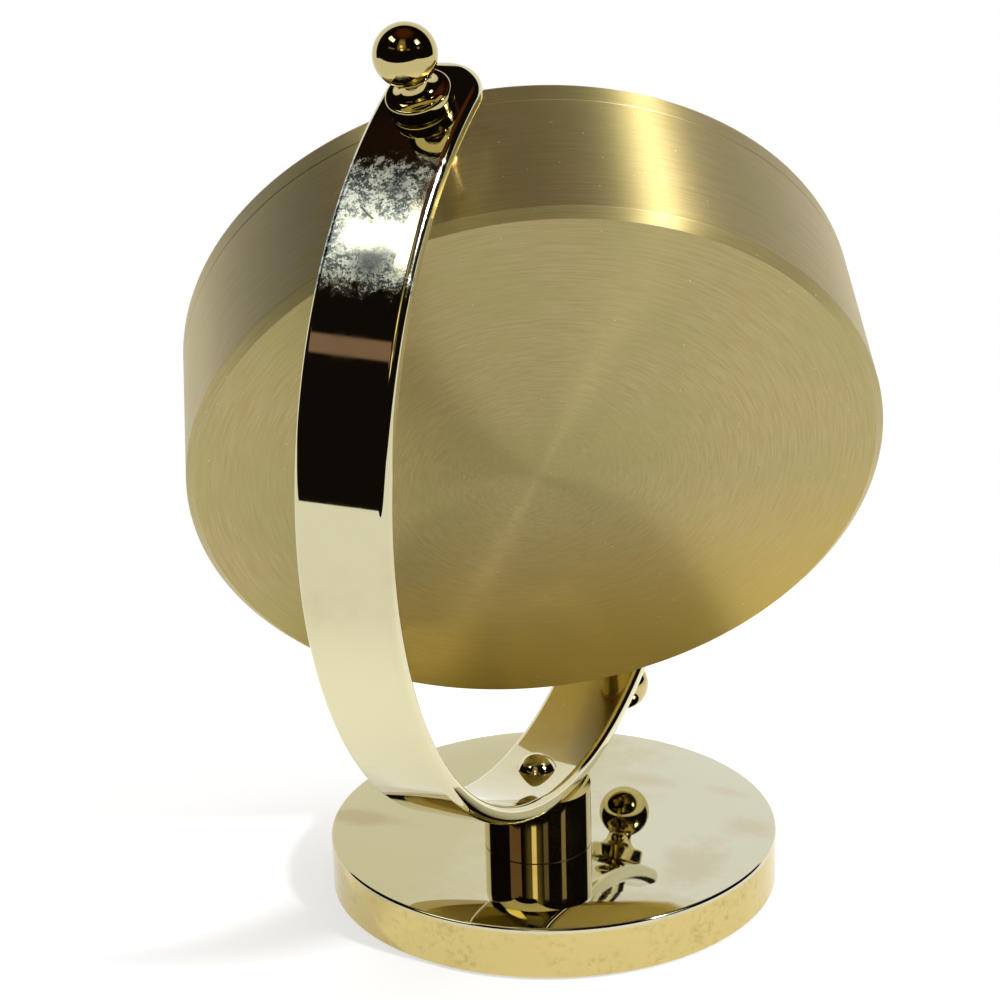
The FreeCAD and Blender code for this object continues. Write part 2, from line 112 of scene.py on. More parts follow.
class Wire:  # one socket inside a node tree, so that shader maths reads as plain sums
    def __init__(self, tree, socket=None):
        self.tree = tree
        self.socket = socket

    # every other node: its type, its settings, then the values or links of its sockets
    def make(self, kind, settings=None, sockets=None, out=0):
        node = self.tree.nodes.new("ShaderNode" + kind)
        for name, value in (settings or {}).items():
            setattr(node, name, value)
        for key, value in (sockets or {}).items():
            socket = node.inputs[key]
            if isinstance(value, Wire):
                self.tree.links.new(value.socket, socket)
            elif socket.type == "RGBA":
                socket.default_value = (*value, 1)
            else:
                socket.default_value = value
        return Wire(self.tree, node.outputs[out])

    def other(self, out):  # another output of the same node
        return Wire(self.tree, self.socket.node.outputs[out])

    def sums(self, operation, first, second=0.0):
        return self.make("Math", {"operation": operation}, {0: first, 1: second})

    def __add__(self, more):
        return self.sums("ADD", self, more)

    def __radd__(self, more):
        return self.sums("ADD", more, self)

    def __sub__(self, less):
        return self.sums("SUBTRACT", self, less)

    def __rsub__(self, start):
        return self.sums("SUBTRACT", start, self)

    def __mul__(self, times):
        return self.sums("MULTIPLY", self, times)

    def __rmul__(self, times):
        return self.sums("MULTIPLY", times, self)

    def __pow__(self, power):
        return self.sums("POWER", self, power)

    def between(self, low, high):  # 0 at low, 1 at high, soft at both ends
        return self.make("MapRange", {"interpolation_type": "SMOOTHSTEP"},
                         {0: self, 1: low, 2: high, 3: 0.0, 4: 1.0})

    def band(self, middle, half, soft):  # 1 within half of middle
        away = self.sums("ABSOLUTE", self - middle)
        return 1 - away.between(half - soft, half + soft)

    def blend(self, first, second):  # a colour from first to second by this value
        return self.make("Mix", {"data_type": "RGBA"}, {0: self, 6: first, 7: second}, 2)


# the room that the metal mirrors: directions in degrees, brightness 1 is paper white
room = {
    "dark": (0.007, 0.005, 0.0035),
    "ceiling": (0.085, 0.022, 0.008),
    "ceilingStart": (60.0, 78.0),
    "backdrop": (0.393, -0.859, -0.250),
    "backdropHalf": 64.0,
    "backdropTone": (1.0, 0.995, 0.98),
    "backdropEdge": 0.03,
    "panelTone": (1.0, 0.85, 0.6),
    "panelHeight": (26.0, 3.0, 1.0),  # elevation, half, softness
    "panels": [(105.0, 5.0, 1.5), (130.0, 5.0, 0.2), (170.0, 5.0, 0.4)],  # azimuth, half, level
    "patches": [  # azimuth, half, elevation, half, softness, colour, level
        (63.0, 13.0, 27.0, 2.2, 0.5, (0.26, 0.165, 0.125), 1.0),
        (104.0, 15.0, 44.0, 17.0, 7.0, (0.62, 0.50, 0.20), 0.55),
        (102.0, 5.0, 37.0, 4.0, 3.0, (1.00, 0.86, 0.45), 1.6),
        (40.0, 20.0, 52.0, 4.5, 2.0, (1.0, 0.99, 0.86), 4.5),
        (179.0, 10.0, 44.0, 7.0, 3.0, (1.0, 0.98, 0.93), 2.0),
        (173.8, 2.0, 42.0, 4.0, 1.2, (1.0, 0.98, 0.96), 430.0),
    ],
}


def makeRoom():
    world = bpy.data.worlds.new("room")
    bpy.context.scene.world = world
    world.use_nodes = True
    world.node_tree.nodes.clear()
    start = Wire(world.node_tree)
    way = start.make("TexCoord", out="Generated")
    x = start.make("SeparateXYZ", None, {0: way})
    y, z = x.other("Y"), x.other("Z")
    elevation = start.sums("ARCSINE", z) * degrees
    azimuth = start.sums("ARCTAN2", y, x) * degrees
    turned = start.sums("FLOORED_MODULO", azimuth, 360.0)

    colour = elevation.between(*room["ceilingStart"]).blend(room["dark"], room["ceiling"])
    facing = start.make("VectorMath", {"operation": "DOT_PRODUCT"},
                        {0: way, 1: Vector(room["backdrop"]).normalized()}, 1)
    edge = math.cos(math.radians(room["backdropHalf"]))
    soft = room["backdropEdge"]
    colour = facing.between(edge - soft, edge + soft).blend(colour, room["backdropTone"])
    seen = start.make("Background", None, {"Color": colour, "Strength": 1.0})
    panels = [(middle, half, *room["panelHeight"], room["panelTone"], level)
              for middle, half, level in room["panels"]]
    for middle, half, up, upHalf, soft, tone, level in room["patches"] + panels:
        light = turned.band(middle, half, soft) * elevation.band(up, upHalf, soft) * level
        lamp = start.make("Background", None, {"Color": tone, "Strength": light})
        seen = start.make("AddShader", None, {0: seen, 1: lamp})
    plain = start.make("Background", None, {"Color": (1, 1, 1), "Strength": 1.0})
    camera = start.make("LightPath", out="Is Camera Ray")
    finishTree(start, "OutputWorld", start.make("MixShader", None, {0: camera, 1: seen, 2: plain}))


def finishTree(start, kind, shader):
    node = start.tree.nodes.new("ShaderNode" + kind)
    start.tree.links.new(shader.socket, node.inputs["Surface"])


# the table and the lamp over it
table = {
    "left": -900.0,
    "right": 900.0,
    "far": -1500.0,
    "near": 420.0,
    "tone": (0.88, 0.88, 0.87),
    "shadowReach": (60.0, 150.0),
    "paper": 0.62,
    "lampHeight": 900.0,
    "lampSize": 700.0,
    "lampPower": 9.0,
}


def makeTable():
    mesh = bpy.data.meshes.new("table")
    corners = [(table["left"], table["far"]), (table["right"], table["far"]),
               (table["right"], table["near"]), (table["left"], table["near"])]
    mesh.from_pydata([(x * mm, y * mm, 0) for x, y in corners], [], [(0, 1, 2, 3)])
    top = bpy.data.objects.new("table", mesh)
    bpy.context.scene.collection.objects.link(top)
    material, start = newFinish("tableTop")
    place = start.make("NewGeometry", out="Position")
    away = start.make("VectorMath", {"operation": "LENGTH"}, {0: place}, 1)
    near, far = (reach * mm for reach in table["shadowReach"])
    plain = table["paper"] + (1 - table["paper"]) * away.between(near, far)
    path = start.make("LightPath", out="Is Camera Ray")
    seen = path + path.other("Is Glossy Ray") + path.other("Is Transmission Ray")
    seen = start.sums("MINIMUM", seen, 1.0)
    paper = start.make("BsdfDiffuse", None, {"Color": table["tone"]})
    white = start.make("Emission", None, {"Color": (1, 1, 1), "Strength": 1.0})
    closeFinish(material, start, start.make("MixShader", None, {0: seen * plain, 1: paper, 2: white}))
    mesh.materials.append(material)
    lamp = bpy.data.lights.new("overhead", "AREA")
    lamp.size = table["lampSize"] * mm
    lamp.energy = table["lampPower"]
    overhead = bpy.data.objects.new("overhead", lamp)
    overhead.location = (0, 0, table["lampHeight"] * mm)
    overhead.visible_glossy = False
    bpy.context.scene.collection.objects.link(overhead)


def newFinish(name):
    material = bpy.data.materials.new(name)
    material.use_nodes = True
    material.node_tree.nodes.clear()
    return material, Wire(material.node_tree)


def closeFinish(material, start, shader):
    finishTree(start, "OutputMaterial", shader)
    return material


makeRoom()
makeTable()
bpy.context.scene.view_settings.view_transform = "Standard"
print("room lit")


def noise(place, scale, detail=3.0, roughness=0.5):
    return place.make("TexNoise", None, {"Vector": place, "Scale": scale, "Detail": detail,
                                         "Roughness": roughness})


def bump(height, strength, distance, normal=None):
    sockets = {"Height": height, "Strength": strength, "Distance": distance}
    if normal:
        sockets["Normal"] = normal
    return height.make("Bump", None, sockets)


def stretched(start, scale):  # coordinates drawn out along one way
    place = start.make("TexCoord", out="Object")
    return start.make("VectorMath", {"operation": "MULTIPLY"}, {0: place, 1: scale})


def metal(start, tone, rough, normal, more=None):
    sockets = {"Base Color": tone, "Metallic": 1.0, "Roughness": rough, "Normal": normal}
    return start.make("BsdfPrincipled", None, {**sockets, **(more or {})})


# mirror-polished, lacquered brass, with the tarnish of handling
polished = {
    "tone": (0.66, 0.615, 0.395),
    "golden": (0.54, 0.45, 0.19),
    "postTone": (0.62, 0.53, 0.27),
    "stain": (0.52, 0.42, 0.19),
    "stainScale": 60.0,
    "roughness": 0.028,
    "smudge": 0.035,
    "wave": 0.00002,
    "jointTop": 0.00012,
    "jointTone": (0.03, 0.02, 0.01),
    "jointRoughness": 0.3,
    "stainEdge": (0.52, 0.74),
    "stainDepth": 0.35,
    "smudgeScale": 190.0,
    "smudgeEdge": (0.48, 0.70),
    "waveScale": 90.0,
    "waveStrength": 0.25,
}


def polishedLook(start, tone):
    place = start.make("TexCoord", out="Object")
    stain = noise(place, polished["stainScale"], 5.0, 0.6).between(*polished["stainEdge"])
    smudge = noise(place, polished["smudgeScale"], 6.0, 0.65).between(*polished["smudgeEdge"])
    colour = (stain * polished["stainDepth"]).blend(tone, polished["stain"])
    rough = polished["roughness"] + polished["smudge"] * smudge
    wave = bump(noise(place, polished["waveScale"], 1.0), polished["waveStrength"], polished["wave"])
    return place, colour, rough, wave


def polishedBrass(name, tone):
    material, start = newFinish(name)
    place, colour, rough, wave = polishedLook(start, tone)
    return closeFinish(material, start, metal(start, colour, rough, wave))


def postBrass():  # with the dark line of its joint with the foot
    material, start = newFinish("postBrass")
    place, colour, rough, wave = polishedLook(start, polished["postTone"])
    z = start.make("SeparateXYZ", None, {0: place}).other("Z")
    joint = 1 - (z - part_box("post")[0][2]).between(polished["jointTop"] * 0.5, polished["jointTop"])
    colour = joint.blend(colour, polished["jointTone"])
    rough = rough + polished["jointRoughness"] * joint
    return closeFinish(material, start, metal(start, colour, rough, wave))


# the strip: polished, with a scuffed haze near its upper end, and in it a painted glare of the overhead panel
hazeAndGlare = {  # angles along the strip in degrees, sideways places in mm
    "angles": (8.0, 11.0, 25.0, 29.0),
    "outside": (0.0528, 0.0534),
    "core": (19.7, 1.6, 1.2),
    "coreSide": (2.4, 4.4),
    "clearSide": (-3.4, -4.3),
    "clearAngles": (18.0, 6.5, 1.5),
    "faint": (5.5, 3.0, 1.6),
    # light, dark and cream: tones of the painted glare of the overhead panel, not of the brass
    "light": (0.84, 0.90, 0.84),
    "dark": (0.045, 0.065, 0.09),
    "glareCream": (0.92, 0.90, 0.74),
    "bluePatches": [(23.0, -0.6, 3.6, 0.85), (13.2, -1.2, 2.4, 0.45)],
    "grain": 3600.0,
    "rough": 0.33,
    "crack": [(16.2, 2.5), (16.9, 1.7), (17.8, 0.5)],
    "crackWidth": (0.20, 0.12),
    "crackTone": (0.02, 0.015, 0.02),
    "cloud": 700.0,
    "raggedness": 9.0,
}


def stripBrass():
    material, start = newFinish("stripBrass")
    place, tone, rough, wave = polishedLook(start, polished["tone"])
    x = start.make("SeparateXYZ", None, {0: place})
    y, z = x.other("Y"), x.other("Z")
    angle = start.sums("ARCTAN2", y, z) * degrees
    across = x * (1 / mm)
    broad = noise(place, hazeAndGlare["cloud"], 4.0, 0.6) - 0.5
    ragged = angle + broad * hazeAndGlare["raggedness"]
    low, full, end, gone = hazeAndGlare["angles"]
    outside = ((y * y + z * z) ** 0.5).between(*hazeAndGlare["outside"])
    scuffAndGlareZone = ragged.between(low, full) * (1 - ragged.between(end, gone)) * outside
    # core and clear: bands painted cream, a painted highlight of the overhead panel
    core = (angle + broad * 3.0).band(*hazeAndGlare["core"]) * (1 - (across + broad * 3.0).between(*hazeAndGlare["coreSide"]))
    clear = (across + broad * 2.0).between(*hazeAndGlare["clearSide"])
    clear = clear * (angle + broad * 3.0).band(*hazeAndGlare["clearAngles"])
    paintedGlareBands = start.sums("MAXIMUM", core, clear)
    grain = noise(place, hazeAndGlare["grain"], 3.0, 0.75)
    clumps = noise(place, hazeAndGlare["grain"] / 3, 2.0, 0.6)
    speck = (grain * 0.6 + clumps * 0.4 + broad * 0.35).between(0.45, 0.57)
    blue = 0.0 * broad
    for middle, side, reach, depth in hazeAndGlare["bluePatches"]:
        far = ((angle - middle) * 0.94) ** 2.0 + (across - side) ** 2.0
        near = 1 - (far ** 0.5 + broad * 2.0).between(reach * 0.2, reach)
        blue = start.sums("MAXIMUM", blue, near * depth)
    faint = outside * angle.band(*hazeAndGlare["faint"]) * noise(place, 1500.0, 6.0, 0.75).between(0.50, 0.62)
    # painted glare: speckle between dark and whitish tones, with cream bands, stands in for the panel mirrored
    # here; the cracks are scratches
    scuffAndGlareTone = (speck * (1 - blue)).blend(hazeAndGlare["dark"], hazeAndGlare["light"])
    scuffAndGlareTone = paintedGlareBands.blend(scuffAndGlareTone, hazeAndGlare["glareCream"])
    thin = hazeAndGlare["crack"]
    for (a0, s0), (a1, s1) in zip(thin, thin[1:]):
        slope = (s1 - s0) / (a1 - a0)
        line = across - s0 - (angle - a0) * slope
        cut = line.band(0.0, *hazeAndGlare["crackWidth"]) * angle.band((a0 + a1) / 2, (a1 - a0) / 2, 0.1)
        scuffAndGlareTone = cut.blend(scuffAndGlareTone, hazeAndGlare["crackTone"])
    cover = scuffAndGlareZone * (0.6 + 0.4 * speck) * (1 - 0.6 * paintedGlareBands) + faint * 0.2
    # the zone takes the painted glare tones; its raised roughness and grain bump are the real scuffing
    tone = (scuffAndGlareZone * 0.92).blend(tone, scuffAndGlareTone)
    rough = rough + cover * hazeAndGlare["rough"]
    rubbed = bump(grain, 0.35 * scuffAndGlareZone, 0.00002, wave)
    return closeFinish(material, start, metal(start, tone, rough, rubbed))


# the foot: polished, with brown smears where it was held
foot = {
    "smears": [(27.0, 9.0, 9.0, 3.0, 0.50), (-20.0, 18.0, 10.0, 4.0, 0.30), (-23.0, 6.0, 6.0, 8.0, 0.30),
               (-8.0, -16.5, 6.0, 2.5, 0.22), (-20.0, -17.5, 5.0, 2.5, 0.20), (-27.0, -8.0, 4.0, 4.0, 0.25)],
    "smearTone": (0.40, 0.30, 0.12),
    "topGold": (0.54, 0.49, 0.27),
    "topPale": (0.64, 0.62, 0.47),
    "paleSide": (0.012, -0.014),
    "sideTone": (0.64, 0.52, 0.21),
    "sideMark": (0.44, 0.32, 0.10),
    "top": (0.0066, 0.0072),
    "smearScale": 170.0,
    "mottleFine": 900.0,
    "mottleBroad": 150.0,
}


def footBrass():
    material, start = newFinish("footBrass")
    place, tone, rough, wave = polishedLook(start, polished["tone"])
    x = start.make("SeparateXYZ", None, {0: place})
    y, z = x.other("Y"), x.other("Z")
    ragged = noise(place, foot["smearScale"], 6.0, 0.65) - 0.5
    onTop = z.between(*foot["top"])
    pale = (x + ragged * 0.03).between(*foot["paleSide"])
    top = pale.blend(foot["topGold"], foot["topPale"])
    shade = 0.0 * ragged
    for side, back, wide, deep, depth in foot["smears"]:
        sideways = (x * (1 / mm) - side) * (1 / wide)
        lengthways = (y * (1 / mm) - back) * (1 / deep)
        far = (sideways ** 2.0 + lengthways ** 2.0) ** 0.5
        near = 1 - (far + ragged * 2.2).between(0.2, 1.1)
        shade = start.sums("MAXIMUM", shade, near * depth)
    top = shade.blend(top, foot["smearTone"])
    fine = noise(place, foot["mottleFine"], 6.0, 0.7).between(0.46, 0.66)
    mottle = fine * noise(place, foot["mottleBroad"], 4.0, 0.6).between(0.40, 0.62)
    side = (mottle * 0.55).blend(foot["sideTone"], foot["sideMark"])
    rough = rough + 0.10 * mottle * (1 - onTop) + 0.05 * shade
    return closeFinish(material, start, metal(start, onTop.blend(side, top), rough, wave))


# spun and brushed brass of the drum, with a painted reflection of the gold foot and strip on its lower part
spun = {
    "tone": (0.465, 0.365, 0.145),
    "light": (0.54, 0.45, 0.21),
    "green": (0.44, 0.405, 0.15),
    # golden: painted reflection of the gold foot and strip, blended onto the lower part of the drum
    "golden": (0.64, 0.45, 0.06),
    "reflectedGoldBelow": (-0.004, -0.042),
    "roughness": 0.37,
    "broad": 0.62,
    "share": 0.35,
    "rings": 6500.0,
    "dust": (0.80, 0.76, 0.62),
    "dustScale": 2600.0,
    "dustEdge": (0.86, 0.88),
    "arcs": 2800.0,
    "ringTurn": 0.0006,
    "arcTurn": 0.0024,
    "clouds": 60.0,
    "greenDepth": 0.4,
    "reflectedGoldDepth": 0.7,
    "lineDepth": 0.000004,
    "lacquer": {"Coat Weight": 0.45, "Coat Roughness": 0.36},
    "sheen": {"Anisotropic": 0.94, "Anisotropic Rotation": 0.25},
}


def spunBrass():
    material, start = newFinish("spunBrass")
    place = start.make("TexCoord", out="Object")
    x = start.make("SeparateXYZ", None, {0: place})
    y, z = x.other("Y"), x.other("Z")
    reach = (x * x + y * y) ** 0.5 + z
    angle = start.sums("ARCTAN2", y, x)
    rings = start.make("CombineXYZ", None, {0: reach, 1: angle * spun["ringTurn"], 2: 0.0})
    arcs = start.make("CombineXYZ", None, {0: reach, 1: angle * spun["arcTurn"], 2: 5.0})
    fine = noise(rings, spun["rings"], 3.0, 0.75)
    broken = noise(arcs, spun["arcs"], 5.0, 0.7)
    clouds = noise(place, spun["clouds"], 2.0, 0.5)
    tone = (0.55 * fine + 0.45 * broken).between(0.40, 0.60).blend(spun["tone"], spun["light"])
    tone = (clouds.between(0.4, 0.65) * spun["greenDepth"]).blend(tone, spun["green"])
    # painted reflection: the lower part of the drum turns saturated gold, as if mirroring the foot and strip
    tone = (y.between(*spun["reflectedGoldBelow"]) * spun["reflectedGoldDepth"]).blend(tone, spun["golden"])
    specks = noise(place, spun["dustScale"], 0.0).between(*spun["dustEdge"])
    tone = specks.blend(tone, spun["dust"])
    rough = spun["roughness"] + 0.08 * fine
    lines = bump(fine, 0.5, spun["lineDepth"])
    crisp = metal(start, tone, rough, lines, {**spun["sheen"], **spun["lacquer"]})
    soft = metal(start, tone, spun["broad"], lines, spun["lacquer"])
    shader = start.make("MixShader", None, {0: spun["share"], 1: crisp, 2: soft})
    return closeFinish(material, start, shader)


# everything else: two tones, a cloud between them, and the grain of the surface
plain = {
    "felt": {"tones": ((0.020, 0.055, 0.032), (0.040, 0.095, 0.058)), "scale": 900.0, "rough": 0.95,
             "stretch": (1, 1, 1), "depth": 0.0003, "more": {"Sheen Weight": 0.6, "Sheen Roughness": 0.4}},
    "steel": {"tones": ((0.52, 0.52, 0.50), (0.64, 0.64, 0.62)), "scale": 800.0, "rough": 0.28,
              "stretch": (1, 1, 8), "depth": 0.00001, "more": {"Metallic": 1.0}},
    "nylon": {"tones": ((0.78, 0.77, 0.72), (0.84, 0.83, 0.79)), "scale": 300.0, "rough": 0.42,
              "stretch": (1, 1, 1), "depth": 0.00001, "more": {"Subsurface Weight": 0.1}},
    "bush_bronze": {"tones": ((0.42, 0.27, 0.12), (0.55, 0.37, 0.17)), "scale": 1500.0, "rough": 0.38,
                    "stretch": (1, 1, 3), "depth": 0.00002, "more": {"Metallic": 1.0}},
    "black_plastic": {"tones": ((0.018, 0.018, 0.019), (0.030, 0.030, 0.031)), "scale": 2200.0, "rough": 0.48,
                      "stretch": (1, 1, 1), "depth": 0.00003, "more": {}},
    "dial_ivory": {"tones": ((0.78, 0.745, 0.64), (0.82, 0.79, 0.69)), "scale": 1800.0, "rough": 0.50,
                   "stretch": (1, 1, 1), "depth": 0.00001, "more": {"Coat Weight": 0.15}},
    "chapter_brass": {"tones": ((0.70, 0.60, 0.34), (0.78, 0.70, 0.44)), "scale": 1200.0, "rough": 0.24,
                      "stretch": (1, 1, 9), "depth": 0.000006, "more": {"Metallic": 1.0}},
    "calendar_white": {"tones": ((0.84, 0.83, 0.80), (0.88, 0.87, 0.84)), "scale": 1500.0, "rough": 0.45,
                       "stretch": (1, 1, 1), "depth": 0.000008, "more": {}},
    "movement_brass": {"tones": ((0.66, 0.53, 0.27), (0.76, 0.64, 0.36)), "scale": 700.0, "rough": 0.30,
                       "stretch": (8, 1, 1), "depth": 0.000008, "more": {"Metallic": 1.0}},
    "wheel_plastic": {"tones": ((0.74, 0.70, 0.58), (0.80, 0.77, 0.68)), "scale": 900.0, "rough": 0.40,
                      "stretch": (1, 1, 1), "depth": 0.00001, "more": {"Subsurface Weight": 0.1}},
    "copper_wire": {"tones": ((0.48, 0.17, 0.06), (0.72, 0.30, 0.13)), "scale": 2400.0, "rough": 0.30,
                    "stretch": (1, 4, 4), "depth": 0.00006, "more": {"Metallic": 1.0}},
    "board_green": {"tones": ((0.010, 0.085, 0.030), (0.025, 0.150, 0.055)), "scale": 900.0, "rough": 0.30,
                    "stretch": (1, 5, 1), "depth": 0.00003, "more": {"Coat Weight": 0.5}},
    "can_tin": {"tones": ((0.60, 0.60, 0.59), (0.72, 0.72, 0.70)), "scale": 1600.0, "rough": 0.22,
                "stretch": (6, 1, 1), "depth": 0.000006, "more": {"Metallic": 1.0}},
    "chip_black": {"tones": ((0.020, 0.020, 0.022), (0.034, 0.034, 0.036)), "scale": 3000.0, "rough": 0.60,
                   "stretch": (1, 1, 1), "depth": 0.00003, "more": {}},
    "hand_black": {"tones": ((0.012, 0.012, 0.013), (0.020, 0.020, 0.022)), "scale": 900.0, "rough": 0.24,
                   "stretch": (1, 1, 1), "depth": 0.000004, "more": {"Coat Weight": 0.6}},
}


def plainFinish(name, look):
    material, start = newFinish(name)
    place = stretched(start, look["stretch"])
    grain = noise(place, look["scale"], 4.0, 0.65)
    cloud = noise(place, look["scale"] / 12, 3.0, 0.5)
    tone = (0.5 * grain + 0.5 * cloud).between(0.38, 0.62).blend(*look["tones"])
    rough = look["rough"] + 0.12 * (cloud - 0.5)
    sockets = {"Base Color": tone, "Roughness": rough, "Normal": bump(grain, 0.6, look["depth"])}
    return closeFinish(material, start, start.make("BsdfPrincipled", None, {**sockets, **look["more"]}))


def clearGlass():
    material, start = newFinish("clearGlass")
    place = start.make("TexCoord", out="Object")
    rough = 0.02 * noise(place, 120.0, 5.0, 0.6).between(0.5, 0.75)
    clear = start.make("BsdfPrincipled", None, {"Base Color": (0.985, 0.995, 0.985), "Roughness": rough,
                                                "IOR": 1.5, "Transmission Weight": 1.0})
    thin = start.make("BsdfTransparent", None, {"Color": (0.96, 0.97, 0.96)})
    shadow = start.make("LightPath", out="Is Shadow Ray")
    return closeFinish(material, start, start.make("MixShader", None, {0: shadow, 1: clear, 2: thin}))


finishes = {name: plainFinish(name, look) for name, look in plain.items()}
finishes.update({"polished_brass": polishedBrass("polishedBrass", polished["tone"]),
                 "finial": polishedBrass("finialBrass", polished["golden"]), "post": postBrass(),
                 "strip": stripBrass(), "foot": footBrass(),
                 "brushed_brass": spunBrass(), "glass": clearGlass()})
special = {"base_disc": "foot", "post": "post"}
for name, node in nodes.items():
    for slot in node.material_slots:
        slot.material = finishes[special.get(name, slot.material.name)]
print("finishes made")


def link(name, data, material, matrix):
    piece = bpy.data.objects.new(name, data)
    bpy.context.scene.collection.objects.link(piece)
    data.materials.append(material)
    piece.matrix_world = matrix
    return piece


def meshPiece(name, mesh, material, matrix, smooth=True):
    bmesh.ops.recalc_face_normals(mesh, faces=mesh.faces)
    data = bpy.data.meshes.new(name)
    mesh.to_mesh(data)
    mesh.free()
    if smooth:
        data.shade_smooth()
    piece = link(name, data, material, matrix)
    if smooth:
        piece.modifiers.new("weights", "WEIGHTED_NORMAL").keep_sharp = True
    return piece


def dress(piece, body, slot, *replaced):
    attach(piece, body)
    if replaced:
        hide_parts(*replaced)


def rounded(corners, steps=8):  # corners are (radius, height, rounding)
    line = []
    for number, (r, z, rounding) in enumerate(corners):
        here = Vector((r, z))
        if not rounding:
            line.append(here)
            continue
        before = (Vector(corners[number - 1][:2]) - here).normalized()
        after = (Vector(corners[(number + 1) % len(corners)][:2]) - here).normalized()
        half = before.angle(after) / 2
        middle = here + (before + after).normalized() * rounding / math.sin(half)
        first = here + before * rounding / math.tan(half) - middle
        last = here + after * rounding / math.tan(half) - middle
        sweep = first.angle_signed(last)
        for step in range(steps + 1):
            line.append(middle + Matrix.Rotation(-sweep * step / steps, 2) @ first)
    return line


def arc(r, z, radius, start, end, steps):  # angles in degrees from the outward radius
    turns = (math.radians(start + (end - start) * step / steps) for step in range(steps + 1))
    return [Vector((r + radius * math.cos(turn), z + radius * math.sin(turn))) for turn in turns]


def ringFaces(mesh, low, high):
    count = max(len(low), len(high))
    for k in range(count):
        ring = [low[k % len(low)], low[(k + 1) % len(low)], high[(k + 1) % len(high)], high[k % len(high)]]
        face = list(dict.fromkeys(ring))
        if len(face) > 2:
            mesh.faces.new(face)


def turnedMesh(line, segments=256):
    mesh = bmesh.new()
    rings = []
    for r, z in line:
        count = 1 if r < 1e-6 else segments
        rings.append([mesh.verts.new((r * math.cos(turn) * mm, r * math.sin(turn) * mm, z * mm))
                      for turn in (2 * math.pi * k / segments for k in range(count))])
    for low, high in zip(rings, rings[1:] + rings[:1]):
        if len(low) > 1 or len(high) > 1:
            ringFaces(mesh, low, high)
    return mesh


# drum shell
shell = {
    "chamfer": 1.1,
    "chamferEdge": 0.12,
    "seamEdge": 0.2,
    "bore": 41.0,
    "floor": 3.0,
}


def makeShell():
    edge, back, seam = clock["drumRadius"], clock["drumBack"], clock["seam"]
    cut, soft = shell["chamfer"], shell["chamferEdge"]
    line = rounded([(0, back, 0), (edge - cut, back, soft), (edge, back + cut, soft),
                    (edge, seam, shell["seamEdge"]), (shell["bore"], seam, 0.1),
                    (shell["bore"], back + shell["floor"], 0.3), (0, back + shell["floor"], 0)])
    piece = meshPiece("drum_shell", turnedMesh(line), finishes["brushed_brass"], dialFrame())
    dress(piece, "drum", "brushed_brass", "case_drum")


# ring round the glass
bezel = {
    "window": 38.2,
    "windowEdge": 0.4,
    "edge": 0.5,
    "bore": 39.65,
    "lip": 0.8,
}


def makeBezel():
    edge, front, seam = clock["drumRadius"], clock["drumFront"], clock["seam"]
    line = rounded([(bezel["window"], front, bezel["windowEdge"]), (edge, front, bezel["edge"]),
                    (edge, seam, shell["seamEdge"]), (bezel["bore"], seam, 0.1),
                    (bezel["bore"], front - bezel["lip"], 0), (bezel["window"], front - bezel["lip"], 0)])
    piece = meshPiece("bezel_ring", turnedMesh(line), finishes["brushed_brass"], dialFrame())
    dress(piece, "insert", "brushed_brass", "bezel")


makeShell()
makeBezel()
print("drum turned")


# turned finials: stud, flange, cove and ball
finial = {
    "tip": 41.4,
    "stud": 1.5,
    "seat": 54.0,
    "flange": 3.95,
    "flangeTop": 56.15,
    "flangeEdge": 0.3,
    "neck": 1.75,
    "cove": 1.7,
    "ball": 3.8,
    "ballAt": 61.5,
}


def makeFinial(name, flip):
    seat, top = finial["seat"], finial["flangeTop"]
    flange, edge = finial["flange"], finial["flangeEdge"]
    neck, cove, ball = finial["neck"], finial["cove"], finial["ball"]
    line = rounded([(0, finial["tip"], 0), (finial["stud"], finial["tip"], 0.2), (finial["stud"], seat, 0),
                    (flange, seat, edge), (flange, top, edge), (neck + cove, top, 0)])[:-1]
    line += arc(neck + cove, top + cove, cove, 270, 180, 14)
    start = -math.degrees(math.acos(neck / ball))
    line += arc(0, finial["ballAt"], ball, start, 90, 56)[:-1] + [Vector((0, finial["ballAt"] + ball))]
    piece = meshPiece(name + "_finial_turned", turnedMesh(line, 128), finishes["finial"], pivotFrame(flip))
    dress(piece, name + "_finial_screw", "polished_brass", name + "_finial")


makeFinial("upper", 1)
makeFinial("lower", -1)
print("finials turned")


# the bent strip: a flat bar with round ends and rolled edges, bent to the circle
strip = {
    "inner": 51.5,
    "outer": 54.0,
    "half": 6.0,
    "tail": 2.5,
    "roll": 0.9,
    "rollSteps": 8,
    "endSteps": 24,
    "bends": 220,
}


def stripOutline(inset, radius):  # one loop round the bar, at this inset and this radius from the centre
    half, tail = strip["half"] - inset, strip["tail"]
    stations = []
    for step in range(strip["endSteps"]):
        turn = math.pi / 2 * (step + 0.5) / strip["endSteps"]
        stations.append((half * math.sin(turn), -math.asin((tail + half * math.cos(turn)) / radius)))
    start, bends = math.asin(tail / radius), strip["bends"]
    stations += [(half, (math.pi + 2 * start) * step / bends - start) for step in range(bends + 1)]
    stations += [(width, math.pi - angle) for width, angle in reversed(stations[:strip["endSteps"]])]
    there = [(-width, radius * math.sin(a), radius * math.cos(a)) for width, a in stations]
    back = [(-x, y, z) for x, y, z in reversed(there)]
    return there + back


